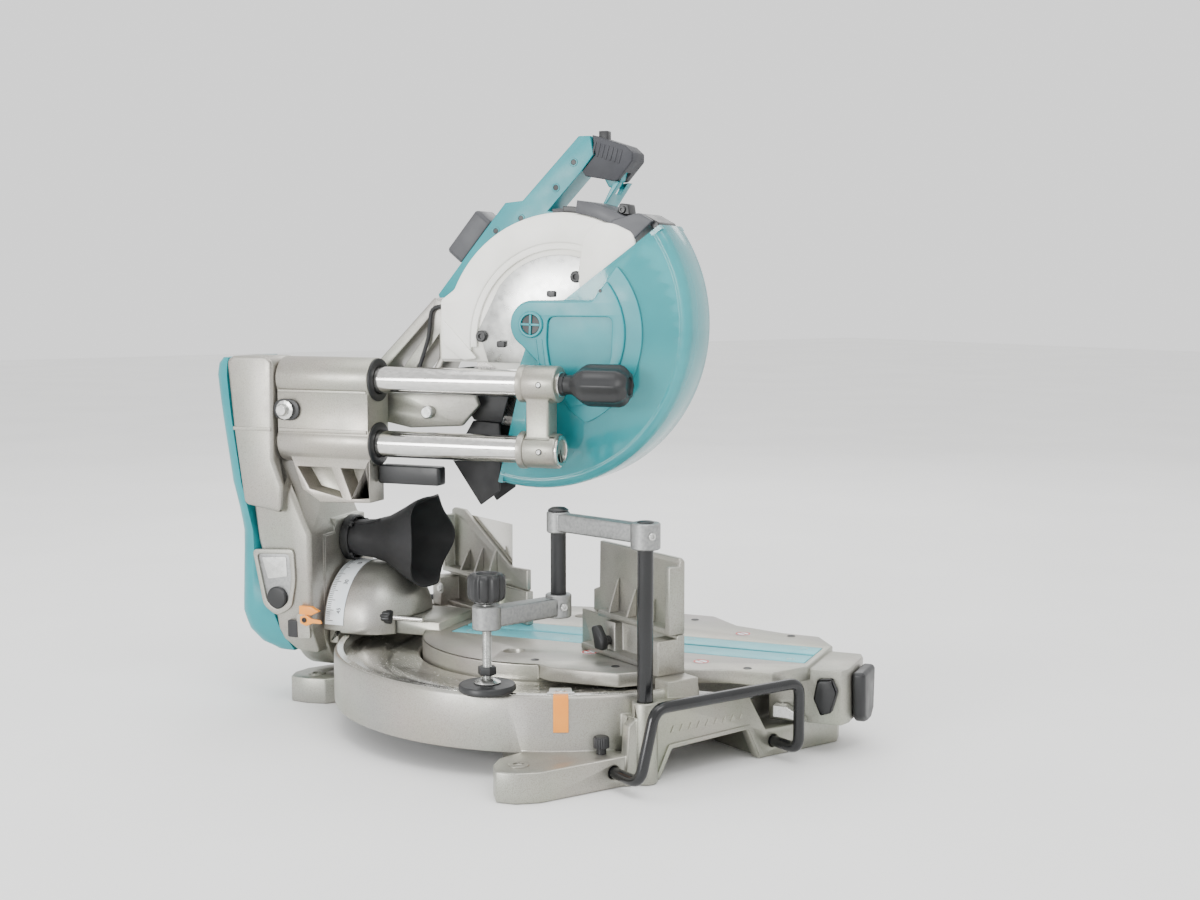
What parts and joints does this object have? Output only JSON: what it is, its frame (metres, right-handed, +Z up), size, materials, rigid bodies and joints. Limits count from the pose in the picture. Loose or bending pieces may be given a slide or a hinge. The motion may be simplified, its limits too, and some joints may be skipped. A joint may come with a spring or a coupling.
{
  "type": "sliding compound mitre saw",
  "caption": "Sliding compound mitre saw: a blade head that chops, slides on two rails and tilts over a turning table between fences, with a hold-down vise.",
  "frame": {"origin": "on the bench plane under the mitre axis, at the foot of the pivot boss", "axes": "+X the operator's right along the fence, +Y to the back of the saw, +Z up; the table stands at 57 degrees mitre"},
  "size_m": [0.6526, 0.5556, 0.663],
  "materials": {
    "casting": "painted, satin",
    "teal": "moulded, fine texture",
    "white": "moulded",
    "clear": "tinted clear polycarbonate",
    "steel": "ground",
    "black": "moulded, fine texture",
    "black_steel": "gloss black",
    "grey": "moulded, fine texture",
    "orange": "moulded",
    "board": "moulded",
    "zinc": "zinc plated",
    "vise": "grey, fine cast",
    "rubber": "moulded",
    "copper": "wound copper"
  },
  "bodies": {
    "base": {"base_casting": "casting", "left_fence": "casting", "right_fence": "casting"},
    "left_fence_top": {"left_high_fence": "casting"},
    "right_fence_top": {"right_high_fence": "casting"},
    "left_fence_screw": {"left_fence_clamp": "black"},
    "right_fence_screw": {"right_fence_clamp": "black"},
    "left_rest": {"left_holder": "black_steel"},
    "right_rest": {"right_holder": "black_steel"},
    "left_rest_screw": {"left_holder_clamp": "black"},
    "right_rest_screw": {"right_holder_clamp": "black"},
    "vise_post": {"vise_upper_arm": "vise"},
    "vise_arm": {"vise_short_rod": "black_steel", "vise_lower_arm": "vise"},
    "vise_foot": {"vise_pad": "black"},
    "vise_feed": {"vise_screw": "zinc"},
    "table": {"turntable": "casting", "left_kerf_board": "board", "right_kerf_board": "board", "pivot_bolt": "steel", "bevel_housing": "casting"},
    "mitre_grip": {"mitre_lock_grip": "black"},
    "mitre_cam": {"mitre_cam_lever": "black"},
    "mitre_stop": {"mitre_stop_lever": "zinc"},
    "arm": {"arm_casting": "casting", "upper_rail": "steel", "lower_rail": "steel", "rear_cover": "teal", "rail_link": "casting", "dust_nozzle": "black", "bevel_pointer": "orange"},
    "bevel_knob": {"bevel_lock_knob": "black"},
    "carriage": {"carriage": "casting", "chop_shaft": "steel", "return_spring": "steel", "guide_light": "black"},
    "stop_pin": {"stop_pin": "steel"},
    "slide_screw": {"slide_lock_screw": "zinc"},
    "head": {"head_arm": "casting", "blade_case": "white", "case_plate": "zinc", "dust_guide": "black", "dust_flap": "rubber", "head_cable": "rubber", "drive_housing": "casting", "drive_belt": "rubber", "motor_housing": "teal", "handle": "teal", "grip": "grey", "centre_cover": "teal", "guard_pin": "teal", "guard_bracket": "grey"},
    "guard": {"lower_guard": "clear"},
    "arbor": {"blade": "steel", "spindle": "steel", "arbor_bolt": "steel"},
    "rotor": {"motor_rotor": "copper"},
    "trigger": {"trigger": "teal"},
    "lock_off": {"lock_off_button": "black"},
    "battery": {"battery": "grey"}
  },
  "joints": [
    {"name": "left_fence_slide", "type": "slide", "parent": "base", "child": "left_fence_top", "axis": [-1, 0, 0], "range_m": [0, 0.06]},
    {"name": "right_fence_slide", "type": "slide", "parent": "base", "child": "right_fence_top", "axis": [1, 0, 0], "range_m": [0, 0.06]},
    {"name": "left_fence_clamp_turn", "type": "hinge", "parent": "base", "child": "left_fence_screw", "pos_m": [-0.129, 0.02, 0.113], "axis": [0, 1, 0], "range_deg": [-40, 40]},
    {"name": "right_fence_clamp_turn", "type": "hinge", "parent": "base", "child": "right_fence_screw", "pos_m": [0.123, 0.02, 0.113], "axis": [0, 1, 0], "range_deg": [-40, 40]},
    {"name": "left_rest_slide", "type": "slide", "parent": "base", "child": "left_rest", "axis": [-1, 0, 0], "range_m": [0, 0.1]},
    {"name": "right_rest_slide", "type": "slide", "parent": "base", "child": "right_rest", "axis": [1, 0, 0], "range_m": [0, 0.1]},
    {"name": "left_rest_screw_turn", "type": "hinge", "parent": "base", "child": "left_rest_screw", "pos_m": [-0.241, 0.109, 0.03], "axis": [0, 0, 1], "continuous": true},
    {"name": "right_rest_screw_turn", "type": "hinge", "parent": "base", "child": "right_rest_screw", "pos_m": [0.241, 0.109, 0.03], "axis": [0, 0, 1], "continuous": true},
    {"name": "vise_post_turn", "type": "hinge", "parent": "base", "child": "vise_post", "pos_m": [-0.262, 0.071, 0], "axis": [0, 0, 1], "range_deg": [-6, 10]},
    {"name": "vise_arm_turn", "type": "hinge", "parent": "vise_post", "child": "vise_arm", "pos_m": [-0.145, 0.096, 0], "axis": [0, 0, 1], "range_deg": [0, 20]},
    {"name": "vise_feed", "type": "slide", "parent": "vise_arm", "child": "vise_foot", "axis": [0, 0, 1], "range_m": [0, 0.03]},
    {"name": "vise_screw_turn", "type": "hinge", "parent": "vise_foot", "child": "vise_feed", "pos_m": [-0.155, 0.188, 0], "axis": [0, 0, 1], "continuous": true},
    {"name": "mitre", "type": "hinge", "parent": "base", "child": "table", "pos_m": [0, 0, 0.095], "axis": [0, 0, 1], "range_deg": [-3, 60]},
    {"name": "mitre_lock_turn", "type": "hinge", "parent": "table", "child": "mitre_grip", "pos_m": [-0.28934, -0.1879, 0.062], "axis": [-0.8387, -0.5446, 0], "range_deg": [0, 90]},
    {"name": "mitre_cam_turn", "type": "hinge", "parent": "table", "child": "mitre_cam", "pos_m": [-0.29846, -0.13897, 0.066], "axis": [0.5446, -0.8387, 0], "range_deg": [0, 18]},
    {"name": "mitre_stop_turn", "type": "hinge", "parent": "table", "child": "mitre_stop", "pos_m": [-0.25653, -0.11174, 0.046], "axis": [0.5446, -0.8387, 0], "range_deg": [0, 20]},
    {"name": "bevel", "type": "hinge", "parent": "table", "child": "arm", "pos_m": [0.22812, 0.14814, 0.095], "axis": [0.8387, 0.5446, 0], "range_deg": [-24, 12]},
    {"name": "bevel_lock_turn", "type": "hinge", "parent": "arm", "child": "bevel_knob", "pos_m": [-0.0702, 0.04384, 0.384], "axis": [-0.8387, -0.5446, 0], "range_deg": [0, 170]},
    {"name": "slide", "type": "slide", "parent": "arm", "child": "carriage", "axis": [0.8387, 0.5446, 0], "range_m": [-0.17, 0]},
    {"name": "stop_pin_pull", "type": "slide", "parent": "head", "child": "stop_pin", "axis": [-0.5446, 0.8387, 0], "range_m": [0, 0.004]},
    {"name": "slide_lock_turn", "type": "hinge", "parent": "carriage", "child": "slide_screw", "pos_m": [0.1932, 0.24231, 0.349], "axis": [-0.5446, 0.8387, 0], "continuous": true},
    {"name": "chop", "type": "hinge", "parent": "carriage", "child": "head", "pos_m": [0.19457, 0.12636, 0.365], "axis": [0.5446, -0.8387, 0], "range_deg": [0, 48], "stiffness_Nm_per_rad": 10, "springref_deg": -171.89, "deforming": ["dust_flap"]},
    {"name": "guard_swing", "type": "hinge", "parent": "head", "child": "guard", "pos_m": [0.01006, 0.00654, 0.447], "axis": [-0.5446, 0.8387, 0], "range_deg": [0, 105]},
    {"name": "blade_spin", "type": "hinge", "parent": "head", "child": "arbor", "pos_m": [-0.01426, -0.00926, 0.428], "axis": [0.5446, -0.8387, 0], "continuous": true},
    {"name": "motor_spin", "type": "hinge", "parent": "head", "child": "rotor", "pos_m": [0.05535, 0.03595, 0.478], "axis": [0.5446, -0.8387, 0], "continuous": true},
    {"name": "trigger_pull", "type": "hinge", "parent": "head", "child": "trigger", "pos_m": [0.00475, -0.06607, 0.627], "axis": [0.5446, -0.8387, 0], "range_deg": [0, 6], "stiffness_Nm_per_rad": 0.5, "springref_deg": -17.19},
    {"name": "lock_off_press", "type": "slide", "parent": "head", "child": "lock_off", "axis": [0, 0, -1], "range_m": [0, 0.003], "stiffness_N_per_m": 300, "springref_m": -0.003},
    {"name": "battery_slide", "type": "slide", "parent": "head", "child": "battery", "axis": [0.5361, 0.3481, -0.769], "range_m": [0, 0.09]}
  ],
  "couplings": [
    {"joint": "guard_swing", "follows": "chop", "ratio": 2.1875},
    {"joint": "motor_spin", "follows": "blade_spin", "ratio": 2}
  ]
}
